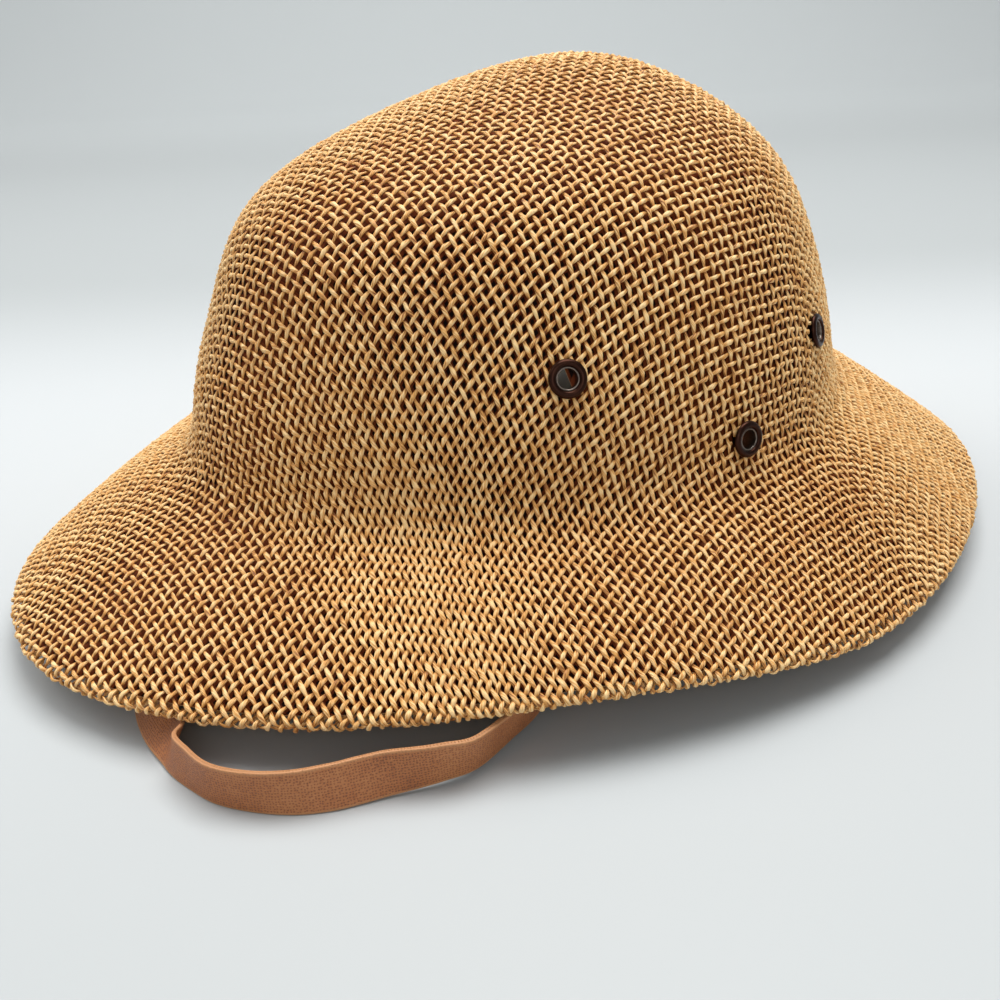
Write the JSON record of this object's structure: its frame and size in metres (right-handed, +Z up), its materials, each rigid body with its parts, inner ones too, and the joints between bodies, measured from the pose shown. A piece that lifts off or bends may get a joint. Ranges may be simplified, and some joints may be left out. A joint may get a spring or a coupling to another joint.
{
  "type": "pith helmet",
  "caption": "Pith helmet pressed from open-weave paper mesh: tall domed crown, wide drooping brim, side air eyelets and a loose chin strap.",
  "frame": {"origin": "on the surface that the hat lies on, at the middle of the brim's outline", "axes": "+Z up, the wearer faces -Y, +X is the wearer's left"},
  "size_m": [0.2724, 0.3381, 0.1425],
  "materials": {
    "woven_paper": "open plain weave of twisted tan paper yarn in two plies, matt",
    "eyelet_metal": "dark bronze lacquer, worn bright in the bore",
    "strap_leather": "brown leatherette with a fine dimpled grain and pale cut edges"
  },
  "bodies": {
    "root": {"helmet_shell": "woven_paper", "chin_strap": "strap_leather", "eyelet_left_front": "eyelet_metal", "eyelet_left_low": "eyelet_metal", "eyelet_left_back": "eyelet_metal", "eyelet_right_front": "eyelet_metal", "eyelet_right_low": "eyelet_metal", "eyelet_right_back": "eyelet_metal"}
  },
  "joints": []
}
